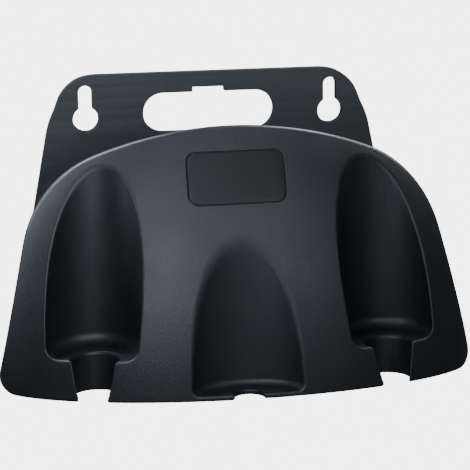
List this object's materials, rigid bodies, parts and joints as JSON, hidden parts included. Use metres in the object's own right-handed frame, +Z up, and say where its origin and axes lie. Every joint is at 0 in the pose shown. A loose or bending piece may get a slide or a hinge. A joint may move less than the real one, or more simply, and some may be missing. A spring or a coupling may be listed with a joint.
{
  "type": "wall mounted hose hanger",
  "caption": "Wall mounted garden hose hanger with a keyhole plate, an arched saddle for the coil and a domed front shell with nozzle pockets.",
  "frame": {"origin": "on the wall plane, midway between the round heads of the two keyholes", "axes": "+X to the viewer's right, +Y into the wall, +Z up; the front faces -Y"},
  "size_m": [0.294, 0.1719, 0.1762],
  "materials": {
    "moulding": "fine matt grain, dark blue grey",
    "label": "smooth, bare, a little darker than the moulding",
    "screws": "zinc plated"
  },
  "bodies": {
    "root": {"wall_plate": "moulding", "hose_saddle": "moulding", "front_shell": "moulding", "label_panel": "label", "rear_screws": "screws", "front_screws": "screws"}
  },
  "joints": []
}
